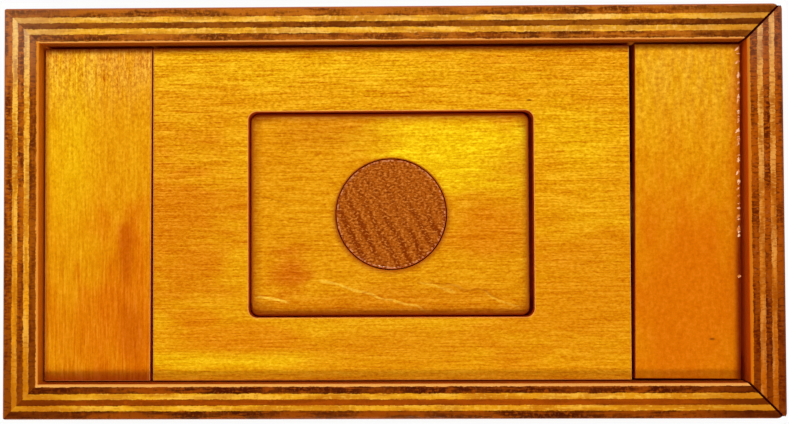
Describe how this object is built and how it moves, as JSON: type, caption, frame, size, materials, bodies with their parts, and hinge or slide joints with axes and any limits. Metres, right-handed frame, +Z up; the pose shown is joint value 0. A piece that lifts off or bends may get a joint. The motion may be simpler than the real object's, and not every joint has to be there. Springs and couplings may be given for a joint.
{
  "type": "wooden puzzle box",
  "caption": "Flat oblong wooden puzzle box with a recessed lid, a turning disc in a window plate, a loose lid slat, a hidden bolt and an end wall that pulls out as a drawer.",
  "frame": {"origin": "middle of the underside's bounding rectangle, on the surface the box stands on", "axes": "+X along the box towards the drawer's end wall, +Y towards the back, +Z up through the lid"},
  "size_m": [0.189, 0.1, 0.042],
  "materials": {
    "walls": "seven-ply board, edges up, glossy golden-orange varnish",
    "loose_slat": "golden-orange varnished wood, rubbed rough at the right edge",
    "left_slat": "golden varnished wood, grain across the box",
    "centre_board": "golden varnished wood, grain along the box",
    "window_plate": "pale golden varnished wood with soft edges",
    "disc": "dark red-brown open-grained wood, waxed",
    "rails": "bare birch",
    "panels": "bare birch plywood",
    "lock": "bare beech, waxed",
    "dowels": "bare beech dowel",
    "drawer": "bare birch"
  },
  "bodies": {
    "case": {"front_wall": "walls", "back_wall": "walls", "left_wall": "walls", "base_panel": "panels", "deck": "panels", "front_rail": "rails", "back_rail": "rails", "left_end_rail": "rails", "left_cross_rail": "rails", "right_cross_rail": "rails", "left_slat": "left_slat", "centre_board": "centre_board", "plate_carrier": "panels", "window_plate": "window_plate", "keeper_guide": "lock", "bolt_guide_left": "lock", "bolt_guide_right": "lock", "bolt_catch": "lock"},
    "disc": {"disc": "disc", "spindle": "dowels", "cam_plate": "lock"},
    "keeper": {"keeper_bar": "lock", "keeper_pin": "dowels"},
    "slat": {"right_slat": "loose_slat", "slat_lug": "lock"},
    "bolt": {"lock_bolt": "lock", "bolt_peg": "dowels"},
    "drawer": {"end_wall": "walls", "drawer_keep": "lock", "drawer_front_side": "drawer", "drawer_back_side": "drawer", "drawer_rear": "drawer", "drawer_bottom": "panels"}
  },
  "joints": [
    {"name": "disc_turn", "type": "hinge", "parent": "case", "child": "disc", "pos_m": [-0.00032, -0.00045, 0.033], "axis": [0, 0, 1], "range_deg": [0, 90]},
    {"name": "keeper_slide", "type": "slide", "parent": "case", "child": "keeper", "axis": [1, 0, 0], "range_m": [0, 0.006]},
    {"name": "slat_lift", "type": "slide", "parent": "case", "child": "slat", "axis": [0, 0, 1], "range_m": [0, 0.03]},
    {"name": "bolt_slide", "type": "slide", "parent": "case", "child": "bolt", "axis": [0, 1, 0], "range_m": [0, 0.018]},
    {"name": "drawer_slide", "type": "slide", "parent": "case", "child": "drawer", "axis": [1, 0, 0], "range_m": [-0.0007, 0.16]}
  ],
  "couplings": [
    {"joint": "keeper_slide", "follows": "disc_turn", "m_per_rad": 0.0038197}
  ]
}
